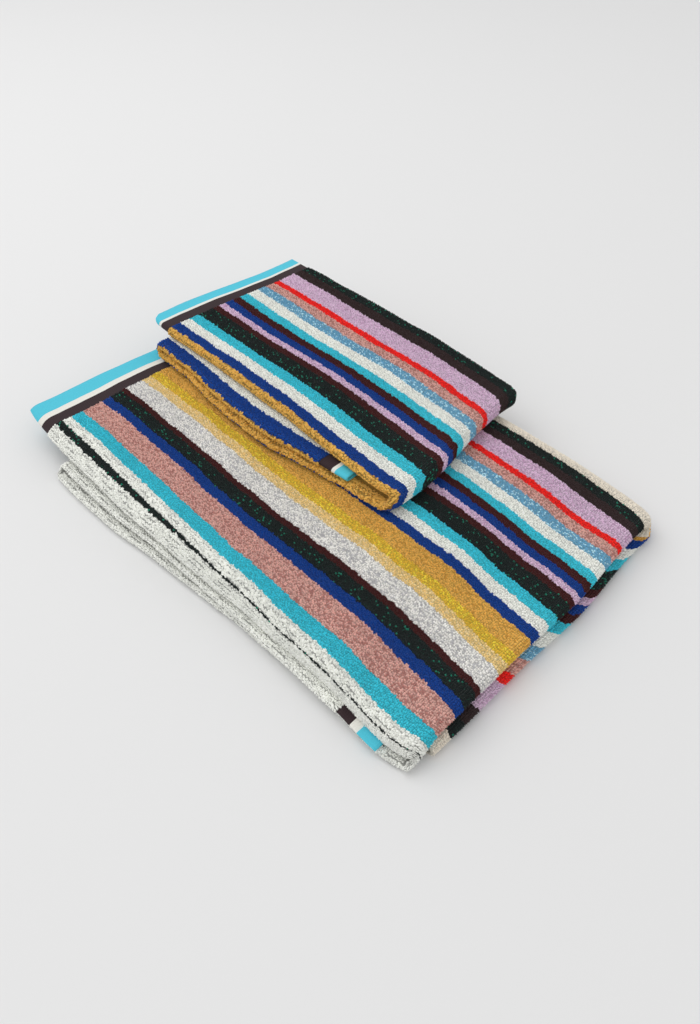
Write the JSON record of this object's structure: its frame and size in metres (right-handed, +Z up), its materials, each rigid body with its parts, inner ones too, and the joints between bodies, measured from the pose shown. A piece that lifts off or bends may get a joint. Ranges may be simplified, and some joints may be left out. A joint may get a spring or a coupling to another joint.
{
  "type": "towel set",
  "caption": "Striped terry bath towel folded into a pad, with a folded hand towel lying on top of it that lifts off.",
  "frame": {"origin": "under the middle of the whole set, on the surface it lies on", "axes": "+X along the stripes from the top hems to the rolled ends, +Y across the stripes, +Z up"},
  "size_m": [0.5419, 0.363, 0.0694],
  "materials": {
    "bath_terry": "looped cotton pile in lengthwise stripes of many colours, some with glitter thread",
    "hand_terry": "looped cotton pile in lengthwise stripes of many colours, some with glitter thread",
    "flat_woven_hem": "flat woven cotton in turquoise, white and dark brown bands"
  },
  "bodies": {
    "bath_towel": {"bath_towel": "bath_terry", "bath_towel_top_hem": "flat_woven_hem", "bath_towel_tucked_hem": "flat_woven_hem"},
    "hand_towel": {"hand_towel": "hand_terry", "hand_towel_top_hem": "flat_woven_hem", "hand_towel_tucked_hem": "flat_woven_hem"}
  },
  "joints": [
    {"name": "hand_towel_lift", "type": "slide", "parent": "bath_towel", "child": "hand_towel", "axis": [0, 0, 1], "range_m": [0, 0.12]}
  ]
}
